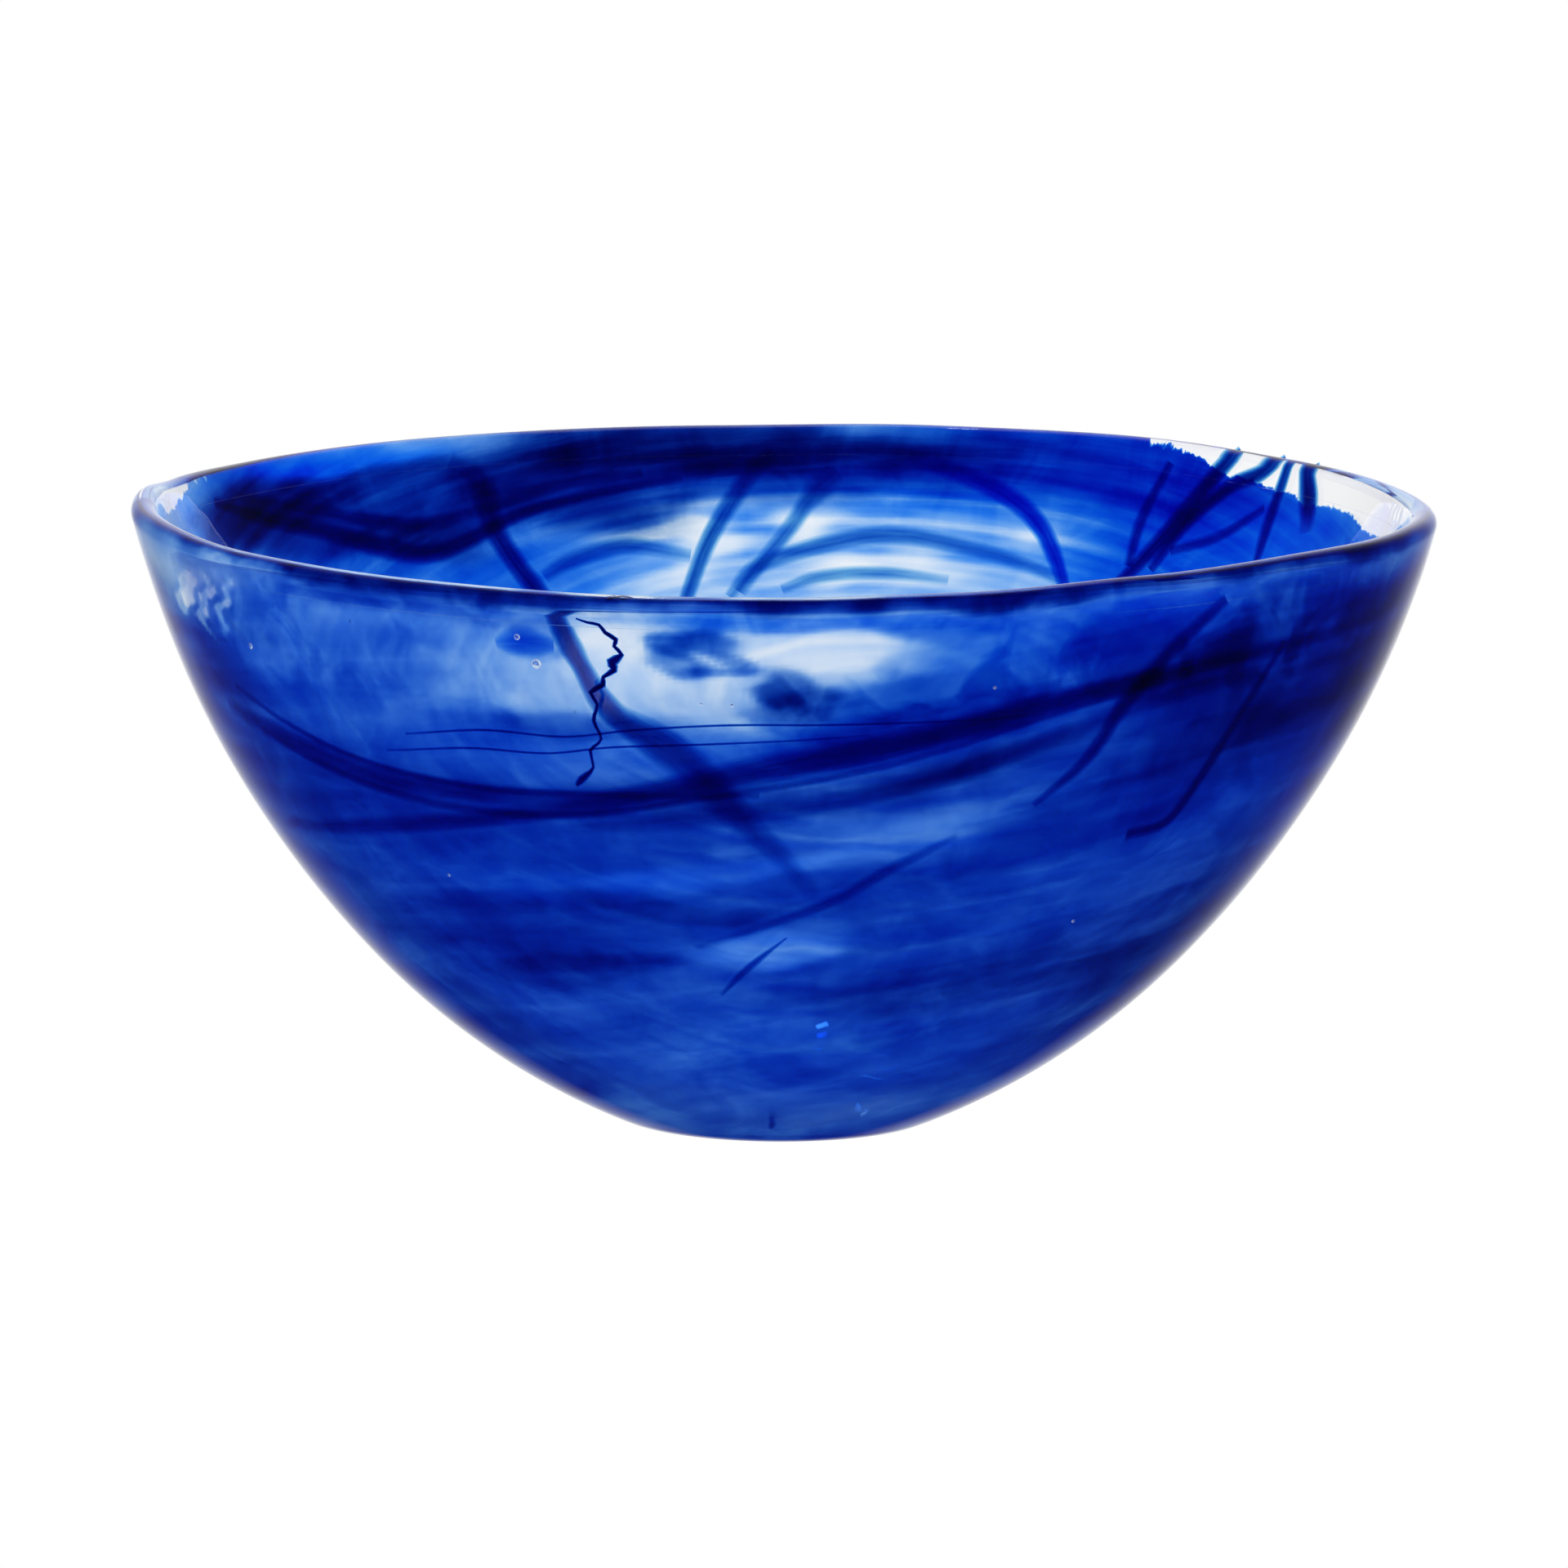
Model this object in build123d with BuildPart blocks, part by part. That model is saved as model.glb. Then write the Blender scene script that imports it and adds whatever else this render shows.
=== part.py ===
from build123d import *
import math
import os

# A large hand-blown art glass bowl: a clear inner gather, a thin cobalt veil rolled on to it,
# drawn trails of dark and blue glass, and a last clear gather that cases everything and makes
# the lip and the foot.
#
# The origin is the centre of the ground foot, +Z is up and the front of the bowl faces -Y.
# Sizes are millimetres.

# Overall form
rim_radius = 175.0
bowl_height = 167.0
foot_radius = 43.0

# The belly point, where the lower and the upper arc of the wall meet
belly_radius = 109.0
belly_height = 45.5
belly_slope = math.radians(46.0)

# The layers of the wall, from the outside in
casing_wall = 3.2
veil_wall = 0.8
lining_wall = 2.8

# The lip is a solid roll of the last gather, and the veil stops short of it
lip_depth = 6.0

# Trails lie in the middle of a clear layer, pressed flat by the next gather
trail_thickness = 1.2

# What cuts through the wall reaches past it by this much
reach = rim_radius + 50.0

outward = (math.sin(belly_slope), -math.cos(belly_slope))
uphill = (math.cos(belly_slope), math.sin(belly_slope))


def at_belly(depth):
    """The belly point of the surface that lies this far under the outer face."""
    return belly_radius - depth * outward[0], belly_height - depth * outward[1]


# The lip is a half circle on the middle of the wall, just inside the rim's radius and height
half_wall = (casing_wall + veil_wall + lining_wall) / 2
lip_radius = rim_radius - half_wall
lip_height = bowl_height - half_wall

# The upper arc of the wall's middle leaves the belly along the wall and ends at the lip, and
# every other surface of the upper wall shares its centre
across = lip_radius - at_belly(half_wall)[0]
rise = lip_height - at_belly(half_wall)[1]
middle_bend = (across**2 + rise**2) / (-2 * (across * outward[0] + rise * outward[1]))
upper_bend = middle_bend + half_wall
upper_centre_radius = belly_radius - upper_bend * outward[0]
upper_centre_height = belly_height - upper_bend * outward[1]
lip_lean = math.atan2(lip_height - upper_centre_height, lip_radius - upper_centre_radius)


def at_lip(depth, below=0.0):
    """The point of that surface at the lip, or this far down the wall from it."""
    bend = upper_bend - depth
    angle = lip_lean - below / bend
    return (
        upper_centre_radius + bend * math.cos(angle),
        upper_centre_height + bend * math.sin(angle),
    )


def floor_height(depth):
    """Height on the axis of the rounded bottom of that surface."""
    radius, height = at_belly(depth)
    bend = radius / math.sin(belly_slope)
    return height - bend * (1 - math.cos(belly_slope))


def wall_radius(height):
    """Radius of the veil's outer face at a height, for placing what lies on it."""
    if height > at_belly(casing_wall)[1]:
        bend = upper_bend - casing_wall
        return upper_centre_radius + math.sqrt(bend**2 - (height - upper_centre_height) ** 2)
    bend = at_belly(casing_wall)[0] / math.sin(belly_slope)
    drop = floor_height(casing_wall) + bend - height
    return math.sqrt(bend**2 - drop**2)


def rounded_wall(depth, below=0.0):
    """Draws one surface of the wall in the open line: from the axis up to the lip."""
    floor = (0.0, floor_height(depth))
    belly = at_belly(depth)
    RadiusArc(floor, belly, -belly[0] / math.sin(belly_slope))
    RadiusArc(belly, at_lip(depth, below), -(upper_bend - depth))


def layer(outer_depth, inner_depth, below):
    """A closed layer of the wall between two depths, stopping this far below the lip."""
    with BuildPart() as shell:
        with BuildSketch(Plane.XZ):
            with BuildLine():
                rounded_wall(outer_depth, below)
                rounded_wall(inner_depth, below)
                Line((0, floor_height(outer_depth)), (0, floor_height(inner_depth)))
                Line(at_lip(outer_depth, below), at_lip(inner_depth, below))
            make_face()
        revolve(axis=Axis.Z)
    return shell


# The thin layers that the trails fill, in the middle of the casing and of the lining
veil_depth = casing_wall
lining_depth = casing_wall + veil_wall
bore_depth = lining_depth + lining_wall
casing_trail_depth = casing_wall - 0.5 - trail_thickness
lining_trail_depth = lining_depth + (lining_wall - trail_thickness) / 2
trail_margin = lip_depth + 1.5
casing_trail_layer = layer(casing_trail_depth, casing_trail_depth + trail_thickness, trail_margin)
lining_trail_layer = layer(lining_trail_depth, lining_trail_depth + trail_thickness, trail_margin)


def trail(facing, route, within):
    """A drawn trail of glass. Its route is (angle, level, width) from one end to the other:
    the angle in degrees round the bowl, 0 at the front and growing to the right, the level as
    a share of the bowl's height, and the width in millimetres. It is drawn on the plane that
    faces it and pressed through the layer."""
    turn = math.radians(facing)
    plane = Plane(
        origin=(0, 0, 0),
        x_dir=(math.cos(turn), math.sin(turn), 0),
        z_dir=(math.sin(turn), -math.cos(turn), 0),
    )
    centres = []
    for angle, level, width in route:
        height = level * bowl_height
        across = wall_radius(height) * math.sin(math.radians(angle - facing))
        centres.append(Vector(across, height))
    left_side = []
    right_side = []
    for number, centre in enumerate(centres):
        before = centres[max(number - 1, 0)]
        after = centres[min(number + 1, len(centres) - 1)]
        half_width = (after - before).normalized().rotate(Axis.Z, 90) * (route[number][2] / 2)
        left_side.append(centre + half_width)
        right_side.append(centre - half_width)
    with BuildPart() as drawn:
        with BuildSketch(plane):
            with BuildLine():
                Spline(*left_side)
                Line(left_side[-1], right_side[-1])
                Spline(*right_side)
                Line(right_side[0], left_side[0])
            make_face()
        extrude(amount=reach)
        add(within.part, mode=Mode.INTERSECT)
    return drawn


# Trails laid on the veil, under the last clear gather
casing_trails = {
    "long_front_band": trail(5, [
        (-62, 0.55, 3.0), (-48, 0.58, 6.0), (-33, 0.62, 7.0), (-12, 0.685, 7.0), (5, 0.755, 6.0),
        (18, 0.80, 6.0), (33, 0.84, 6.0), (50, 0.865, 5.0), (68, 0.88, 3.0)], casing_trail_layer),
    "jagged_trail": trail(-16, [
        (-14.2, 0.94, 1.6), (-14.2, 0.90, 1.8), (-15.9, 0.855, 2.2), (-16.6, 0.81, 1.8),
        (-18.0, 0.74, 1.6)], casing_trail_layer),
    "blue_drop": trail(-22, [
        (-24.2, 0.925, 3.0), (-22.6, 0.93, 7.5), (-21.0, 0.93, 8.0), (-19.6, 0.925, 3.5)],
        casing_trail_layer),
    "sliver_trail": trail(-3, [
        (1.5, 0.435, 1.0), (-3.5, 0.375, 2.2), (-7, 0.325, 1.2)], casing_trail_layer),
    "low_front_streak": trail(5, [
        (-9, 0.42, 1.2), (4.6, 0.495, 2.4), (11.6, 0.56, 2.4), (17.3, 0.61, 1.2)],
        casing_trail_layer),
    "foot_trail": trail(-1, [
        (-1.5, 0.05, 1.2), (-0.6, 0.065, 2.0), (-0.8, 0.085, 1.4)], casing_trail_layer),
    "diagonal_back_trail": trail(200, [
        (213, 0.955, 6.0), (210.5, 0.87, 5.5), (208.0, 0.78, 4.5), (205.0, 0.69, 4.0),
        (202.6, 0.61, 4.5), (199.5, 0.53, 6.0), (191, 0.435, 7.0), (184, 0.35, 4.0),
        (175, 0.26, 1.4)], casing_trail_layer),
    "outer_back_arch": trail(170, [
        (185, 0.73, 1.6), (180.5, 0.78, 2.0), (175.5, 0.806, 2.4), (169.5, 0.82, 2.2),
        (163, 0.813, 2.0), (155.5, 0.79, 1.4)], casing_trail_layer),
    "inner_back_arch": trail(171, [
        (179.5, 0.735, 1.2), (176, 0.75, 1.8), (169.5, 0.758, 1.8), (163, 0.75, 1.2)],
        casing_trail_layer),
    "blue_back_arch": trail(157, [
        (168, 0.95, 2.5), (161, 0.92, 5.0), (156.3, 0.883, 5.0), (153.2, 0.843, 4.5),
        (151.3, 0.80, 4.0), (149.3, 0.75, 2.5)], casing_trail_layer),
    "right_back_trail": trail(138, [
        (134.5, 0.95, 4.0), (137, 0.895, 4.0), (139.5, 0.835, 3.6), (143, 0.77, 2.4)],
        casing_trail_layer),
    "side_back_trail": trail(134, [
        (129.5, 0.95, 3.0), (132.5, 0.92, 3.0), (136, 0.87, 2.6), (138.6, 0.80, 1.6)],
        casing_trail_layer),
    "side_post_trail": trail(125, [
        (124.8, 0.945, 2.4), (125.4, 0.89, 3.0), (125.5, 0.83, 1.8)], casing_trail_layer),
    "side_column_trail": trail(120, [
        (120.0, 0.95, 7.0), (119.6, 0.92, 6.0), (119.4, 0.88, 3.0)], casing_trail_layer),
}

# Trails under the veil, which the inner gather picked up first
lining_trails = {
    "back_swirl_band": trail(228, [
        (247, 0.945, 4.0), (238, 0.91, 8.0), (231, 0.875, 9.0), (222.5, 0.825, 8.0),
        (216, 0.815, 6.0), (210, 0.85, 5.0), (206.5, 0.88, 3.0)], lining_trail_layer),
    "middle_back_post": trail(186, [
        (182.4, 0.945, 3.0), (184.9, 0.885, 3.5), (187.6, 0.815, 2.6), (190, 0.725, 1.6)],
        lining_trail_layer),
    "left_back_arch": trail(198, [
        (205, 0.77, 1.4), (202, 0.79, 2.0), (196.2, 0.81, 2.0), (192, 0.80, 1.4)],
        lining_trail_layer),
    "knot_back_trail": trail(180, [
        (175.2, 0.93, 4.5), (177.7, 0.875, 3.0), (179.5, 0.83, 2.2), (184, 0.745, 1.6)],
        lining_trail_layer),
    "cross_back_trail": trail(141, [
        (140.8, 0.945, 1.8), (141.7, 0.88, 2.2), (142, 0.81, 1.6)], lining_trail_layer),
    "side_back_arch": trail(131, [
        (126.4, 0.915, 1.6), (131.3, 0.87, 2.4), (137, 0.835, 1.8)], lining_trail_layer),
    "lower_front_band": trail(-42, [
        (-63, 0.73, 3.0), (-54, 0.712, 5.0), (-44, 0.68, 6.0), (-33, 0.67, 5.0),
        (-22, 0.672, 2.5)], lining_trail_layer),
    "hook_front_trail": trail(34, [
        (41, 0.94, 3.0), (37, 0.895, 4.0), (32.8, 0.815, 4.0), (31.0, 0.755, 3.6),
        (29.4, 0.71, 3.0), (26, 0.655, 2.0)], lining_trail_layer),
    "branch_front_trail": trail(45, [
        (50.5, 0.86, 2.0), (47.5, 0.75, 3.0), (44.6, 0.64, 3.4), (42.5, 0.595, 3.4),
        (38.7, 0.585, 2.6)], lining_trail_layer),
}

# The first gather, blown clear, with the trails it picked up held inside it
with BuildPart() as clear_lining:
    add(layer(lining_depth, bore_depth, lip_depth).part)
    for held in lining_trails.values():
        add(held.part, mode=Mode.SUBTRACT)

# The cobalt overlay, a thin cup of blue rolled on to the first gather
cobalt_veil = layer(veil_depth, lining_depth, lip_depth)

# The last gather: the wall, the rolled lip over the inner layers, and the flat ground foot
with BuildPart() as clear_casing:
    with BuildSketch(Plane.XZ):
        with BuildLine():
            foot_edge = (foot_radius, 0.0)
            outer_belly = at_belly(0)
            Line((0, 0), foot_edge)
            TangentArc(outer_belly, foot_edge, tangent=(-uphill[0], -uphill[1]))
            RadiusArc(outer_belly, at_lip(0), -upper_bend)
            lip_top = (
                lip_radius - half_wall * math.sin(lip_lean),
                lip_height + half_wall * math.cos(lip_lean),
            )
            ThreePointArc(at_lip(0), lip_top, at_lip(bore_depth))
            RadiusArc(at_lip(bore_depth, lip_depth), at_lip(bore_depth), -(upper_bend - bore_depth))
            Line(at_lip(bore_depth, lip_depth), at_lip(veil_depth, lip_depth))
            rounded_wall(veil_depth, lip_depth)
            Line((0, floor_height(veil_depth)), (0, 0))
        make_face()
    revolve(axis=Axis.Z)
    for held in casing_trails.values():
        add(held.part, mode=Mode.SUBTRACT)

pieces = {
    "clear_casing": clear_casing,
    "cobalt_veil": cobalt_veil,
    "clear_lining": clear_lining,
    **casing_trails,
    **lining_trails,
}

os.makedirs("parts", exist_ok=True)
for name, piece in pieces.items():
    piece.part.label = name
    export_step(piece.part, f"parts/{name}.step")
    print(name, len(piece.part.solids()), round(piece.part.volume), "mm3")
print("mass of glass", round(sum(piece.part.volume for piece in pieces.values()) * 2.5e-6, 2), "kg")
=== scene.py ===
import math

import bpy
import numpy as np
from mathutils import Euler, Matrix, Vector


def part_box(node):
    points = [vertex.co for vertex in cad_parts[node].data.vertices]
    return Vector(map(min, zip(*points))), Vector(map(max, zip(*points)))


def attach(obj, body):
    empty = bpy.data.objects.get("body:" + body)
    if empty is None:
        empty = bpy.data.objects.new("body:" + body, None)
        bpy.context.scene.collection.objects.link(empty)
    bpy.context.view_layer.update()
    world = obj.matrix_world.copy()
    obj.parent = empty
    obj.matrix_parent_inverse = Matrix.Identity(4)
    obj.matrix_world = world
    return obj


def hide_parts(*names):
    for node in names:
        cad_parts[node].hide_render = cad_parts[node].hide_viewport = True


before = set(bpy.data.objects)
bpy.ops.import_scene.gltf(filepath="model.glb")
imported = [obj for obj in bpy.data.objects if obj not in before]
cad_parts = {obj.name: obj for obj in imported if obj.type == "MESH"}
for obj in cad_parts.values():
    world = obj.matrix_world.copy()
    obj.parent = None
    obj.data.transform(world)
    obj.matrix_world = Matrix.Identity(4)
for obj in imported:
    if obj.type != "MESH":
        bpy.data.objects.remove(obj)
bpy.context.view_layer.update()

# ---------------------------------------------------------------------------------------------
# The clear casing, the last gather of soda-lime crystal. It is blown and swung open, so its wall
# is two smooth arcs that meet at the belly; the fire rounds its lip over the inner layers, and
# below it is ground flat and polished as the foot.
MM = 0.001
casing_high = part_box("clear_casing")[1]
rim_radius = casing_high[0] / MM
bowl_height = casing_high[2] / MM
foot_radius = 43.0
belly_radius = 109.0
belly_height = 45.5
belly_slope = math.radians(46.0)
wall = 6.8
casing_wall = 3.2
fused_gap = 0.02
step_gap = 0.05
around = 360
lip_depth = 6.0
half_wall = wall / 2

outward = np.array([math.sin(belly_slope), -math.cos(belly_slope)])
belly = np.array([belly_radius, belly_height])
lip = np.array([rim_radius - half_wall, bowl_height - half_wall])
to_lip = lip - (belly - half_wall * outward)
upper_bend = to_lip @ to_lip / (-2 * (to_lip @ outward)) + half_wall
upper_centre = belly - upper_bend * outward
lip_lean = math.atan2(lip[1] - upper_centre[1], lip[0] - upper_centre[0])
foot_edge = np.array([foot_radius, 0.0])
to_foot = foot_edge - belly
foot_bend = to_foot @ to_foot / (-2 * (to_foot @ outward))
foot_centre = belly - foot_bend * outward
corner_bend = 24.0
corner_slope = math.radians(24.5)
to_corner = np.array([math.sin(corner_slope), -math.cos(corner_slope)])
corner = foot_centre + (foot_bend - corner_bend) * to_corner


def upper_wall(depth, count, below=0.0):
    """Points up the upper arc of the surface at a depth, stopping this far short of the lip."""
    bend = upper_bend - depth
    turns = np.linspace(belly_slope - math.pi / 2, lip_lean - below / bend, count)
    return [tuple(upper_centre + bend * np.array([math.cos(t), math.sin(t)])) for t in turns]


def round_bottom(depth, count):
    """Points from the axis to the belly on the surface at a depth: the floor, its round corner, and
    the lower wall, which runs beside the outer face. The floor is flatter than that of the solid
    part, which keeps the glass above the foot from going dark."""
    points = [(0.0, float(corner[1]) - corner_bend + depth)]
    for turn in np.linspace(0, corner_slope, count // 4):
        points.append((corner[0] + (corner_bend - depth) * math.sin(turn),
                       corner[1] - (corner_bend - depth) * math.cos(turn)))
    for turn in np.linspace(corner_slope, belly_slope, count - count // 4)[1:]:
        points.append((foot_centre[0] + (foot_bend - depth) * math.sin(turn),
                       foot_centre[1] - (foot_bend - depth) * math.cos(turn)))
    return points


def wall_radius(height, depth):
    """Radius, at each height, of the surface that lies this far inside the outer face."""
    height = np.asarray(height, float)
    low_belly = belly - depth * outward
    bend = upper_bend - depth
    upper = upper_centre[0] + np.sqrt(np.maximum(bend**2 - (height - upper_centre[1]) ** 2, 0))
    lower = (foot_bend - depth) ** 2 - (height - foot_centre[1]) ** 2
    lower = foot_centre[0] + np.sqrt(np.maximum(lower, 0))
    return np.where(height > low_belly[1], upper, lower)


def round_the_bowl(angle, stops):
    """A smooth value round the bowl, through (angle, value) stops. Angles grow to the right from
    0 at the front."""
    places = np.array([stop[0] for stop in stops], float)
    values = np.array([stop[1] for stop in stops], float)
    places = np.concatenate([places[-2:] - 360, places, places[:2] + 360])
    values = np.concatenate([values[-2:], values, values[:2]])
    turn = (np.asarray(angle, float) - places[2]) % 360 + places[2]
    index = np.clip(np.searchsorted(places, turn, side="right") - 1, 0, len(places) - 2)
    share = (turn - places[index]) / (places[index + 1] - places[index])
    share = share * share * (3 - 2 * share)
    return values[index] * (1 - share) + values[index + 1] * share


rim_wave = [(-92, 0.9), (-76, 0.3), (-53, -1.1), (-33, -1.6), (-15, -2.0), (0, -1.6), (14, -0.7),
            (32, 1.1), (51, 2.1), (70, 1.2), (102, -0.6), (126, -0.4), (143, 0.4), (165, -0.3),
            (187, -1.4), (215, -1.7), (240, -2.0), (255, -1.3)]
lean = 0.0063


def hand_blown(points):
    """Takes points from the true form to the form as blown, in metres: the wave of the rim, the
    slow swell of the wall that the tools leave, and the lean."""
    points = np.asarray(points, float).reshape(-1, 3)
    x, y, z = points.T
    angle = np.degrees(np.arctan2(x, -y))
    radius = np.hypot(x, y)
    share = np.clip(z / bowl_height, 0, 1)
    turn = np.radians(angle)
    swell = 0.22 * np.sin(3 * turn + 4.1 * share) + 0.14 * np.sin(5 * turn - 9 * share + 1.3)
    swell += 0.07 * np.sin(11 * turn + 17 * share) * share
    scale = 1 + (swell * share * np.minimum(1, 8 * (1 - share) + 0.25)) / np.maximum(radius, 1)
    lifted = z + round_the_bowl(angle, rim_wave) * share**2
    return np.stack([x * scale + lean * lifted, y * scale, lifted], 1) * MM


def spin(outline, count):
    """Turns an outline of (radius, height) points round the axis. Both its ends are on the axis.
    Returns the points, the faces and, for each face, the outline step that it belongs to."""
    turns = np.arange(count) * 2 * math.pi / count
    points = [(0.0, 0.0, outline[0][1])]
    for radius, height in outline[1:-1]:
        points += [(radius * math.sin(t), -radius * math.cos(t), height) for t in turns]
    points.append((0.0, 0.0, outline[-1][1]))
    faces = []
    steps = []
    rings = len(outline) - 2
    for k in range(count):
        after = (k + 1) % count
        faces.append((0, 1 + after, 1 + k))
        steps.append(0)
        last = 1 + (rings - 1) * count
        faces.append((last + k, last + after, len(points) - 1))
        steps.append(rings)
    for ring in range(rings - 1):
        low = 1 + ring * count
        for k in range(count):
            after = (k + 1) % count
            faces.append((low + k, low + after, low + count + after, low + count + k))
            steps.append(ring + 1)
    return points, faces, steps


def seed(angle, height, depth, radius):
    """An air bubble left in the glass, a little flattened along the wall. Its skin faces inward."""
    turn = math.radians(angle)
    away = float(wall_radius(height, depth))
    points = []
    levels, sides = 7, 10
    for k in range(levels):
        up = (k + 0.5) * math.pi / levels
        for j in range(sides):
            round_turn = j * math.pi / (sides // 2)
            side = radius * math.sin(up) * math.cos(round_turn)
            out = away + 0.5 * radius * math.sin(up) * math.sin(round_turn)
            x = out * math.sin(turn) + side * math.cos(turn)
            y = -out * math.cos(turn) + side * math.sin(turn)
            points.append((x, y, height - radius * math.cos(up)))
    last = (levels - 1) * sides
    faces = [tuple(range(sides)), tuple(range(last, last + sides))[::-1]]
    for low in range(0, last, sides):
        for j in range(sides):
            after = (j + 1) % sides
            faces.append((low + j, low + sides + j, low + sides + after, low + after))
    return points, faces


def linear(hex_colour):
    """The linear colour of an sRGB hex value such as "#1B67CC"."""
    parts = [int(hex_colour[i:i + 2], 16) / 255 for i in (1, 3, 5)]
    return (*[c / 12.92 if c <= 0.04045 else ((c + 0.055) / 1.055) ** 2.4 for c in parts], 1.0)


def add(tree, kind, sockets=None, **settings):
    """Adds a shader node: settings are its options, and sockets its values or what is linked in."""
    node = tree.nodes.new("ShaderNode" + kind)
    for option, value in settings.items():
        setattr(node, option, value)
    for name, value in (sockets or {}).items():
        if isinstance(value, bpy.types.NodeSocket):
            tree.links.new(value, node.inputs[name])
        else:
            node.inputs[name].default_value = value
    return node


def new_material(name):
    """An empty node material, and its tree and output."""
    material = bpy.data.materials.new(name)
    material.use_nodes = True
    material.node_tree.nodes.clear()
    return material, material.node_tree, add(material.node_tree, "OutputMaterial")


def new_piece(name, points, faces, materials, face_materials, node_names):
    """Makes a mesh piece of the bowl from true-form points in millimetres."""
    mesh = bpy.data.meshes.new(name)
    mesh.from_pydata(hand_blown(points).tolist(), [], faces)
    mesh.polygons.foreach_set("use_smooth", [True] * len(mesh.polygons))
    for material in materials:
        mesh.materials.append(material)
    if face_materials:
        mesh.polygons.foreach_set("material_index", face_materials)
    piece = bpy.data.objects.new(name, mesh)
    bpy.context.scene.collection.objects.link(piece)
    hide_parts(*node_names)
    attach(piece, "root")
    return piece


# Fire-polished crystal: it bends and mirrors light at its skin, and is otherwise not seen
fire_polished, tree, output = new_material("fire_polished_glass")
place = add(tree, "TexCoord")
# The tools leave a slow ripple in the skin, about 18 mm from crest to crest
ripple = add(tree, "TexNoise", {"Vector": place.outputs["Object"], "Scale": 55.0, "Detail": 1.0})
skin = add(tree, "Bump", {"Height": ripple.outputs["Fac"], "Strength": 0.04, "Distance": 0.002})
clear = add(tree, "BsdfPrincipled", {
    "Base Color": linear("#FCFDFF"), "Roughness": 0.0, "IOR": 1.5, "Transmission Weight": 1.0,
    "Normal": skin.outputs["Normal"]})
lamp_way = add(tree, "BsdfTransparent", {"Color": linear("#F6F9FC")})
path = add(tree, "LightPath")
# A simplification: light mirrored three times within the wall goes straight on out of it, so that
# trapped light doesn't leave the glass black. Real glass would keep some of it longer.
trapped = add(tree, "Math", {0: path.outputs["Glossy Depth"], 1: 2.5}, operation="GREATER_THAN")
let_out = add(tree, "Math", {0: path.outputs["Is Shadow Ray"], 1: trapped.outputs[0]},
              operation="MAXIMUM")
seen = add(tree, "MixShader", {0: let_out.outputs[0], 1: clear.outputs[0], 2: lamp_way.outputs[0]})
tree.links.new(seen.outputs[0], output.inputs["Surface"])

# Where two gathers were fused hot the glass is one, so that face lets the eye straight through
fused, tree, output = new_material("fused_face")
joined = add(tree, "BsdfTransparent", {"Color": (1.0, 1.0, 1.0, 1.0)})
tree.links.new(joined.outputs[0], output.inputs["Surface"])

foot_turn = math.atan2(foot_edge[1] - foot_centre[1], foot_edge[0] - foot_centre[0])
casing_outline = [(0.0, 0.0), (foot_radius * 0.5, 0.0), (foot_radius - 1.6, 0.0),
                  (foot_radius - 0.6, 0.12)]
for turn in np.linspace(foot_turn + 0.004, belly_slope - math.pi / 2, 26)[:-1]:
    way = np.array([math.cos(turn), math.sin(turn)])
    casing_outline.append(tuple(foot_centre + foot_bend * way))
casing_outline += upper_wall(0.0, 80)
for turn in np.linspace(lip_lean, lip_lean + math.pi, 17)[1:-1]:
    casing_outline.append(tuple(lip + half_wall * np.array([math.cos(turn), math.sin(turn)])))
inner_lip_steps = 4
last_skin_step = len(casing_outline) + inner_lip_steps
lip_bend = upper_bend - wall
inner_lip_end = lip_lean - lip_depth / lip_bend
nearly_there = lip_lean - (lip_depth - step_gap) / lip_bend
for turn in (*np.linspace(lip_lean, nearly_there, inner_lip_steps), inner_lip_end):
    way = np.array([math.cos(turn), math.sin(turn)])
    casing_outline.append(tuple(upper_centre + lip_bend * way))
casing_outline += upper_wall(casing_wall - fused_gap, 50, lip_depth - fused_gap)[::-1]
casing_outline += round_bottom(casing_wall - fused_gap, 20)[::-1][1:]
points, faces, steps = spin(casing_outline, around)
face_materials = [int(step >= last_skin_step) for step in steps]
# (angle, height, depth in the wall, radius) of the larger seeds
seeds = [(-55.1, 141.7, 1.4, 0.8), (-23.0, 154.6, 1.2, 0.8), (-21.5, 147.6, 1.2, 1.3),
         (18.8, 141.5, 1.5, 0.4), (-4.3, 138.4, 1.2, 0.5), (-7.0, 138.6, 1.5, 0.4),
         (36, 72, 1.4, 0.5), (-38, 84, 1.6, 0.45), (143, 96, 1.4, 0.6), (205, 88, 1.5, 0.5),
         (-128, 118, 1.4, 0.6), (96, 84, 1.5, 0.5), (-96, 66, 1.3, 0.5)]
for angle, height, depth, radius in seeds:
    seed_points, seed_faces = seed(angle, height, depth, radius)
    faces += [tuple(len(points) + vertex for vertex in face) for face in seed_faces]
    points += seed_points
    face_materials += [0] * len(seed_faces)
new_piece("clear_casing_glass", points, faces, [fire_polished, fused], face_materials,
          ["clear_casing"])

# ---------------------------------------------------------------------------------------------
# The clear lining, the first gather, of the same crystal. It is the inside of the bowl, smooth
# from the blow, and it was fused under the veil while both were hot.
veil_wall = 0.8
lining_depth = casing_wall + veil_wall
lining_outline = [(0.0, round_bottom(lining_depth + fused_gap, 2)[0][1])]
lining_outline += round_bottom(lining_depth + fused_gap, 20)[1:]
lining_outline += upper_wall(lining_depth + fused_gap, 50, lip_depth + fused_gap)[1:]
inner_steps = len(lining_outline)
lining_outline += upper_wall(wall, 2, lip_depth)[1:]
lining_outline += upper_wall(wall, 80, lip_depth + step_gap)[::-1]
lining_outline += round_bottom(wall, 30)[::-1][1:]
points, faces, steps = spin(lining_outline, around)
face_materials = [int(step < inner_steps) for step in steps]
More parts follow.
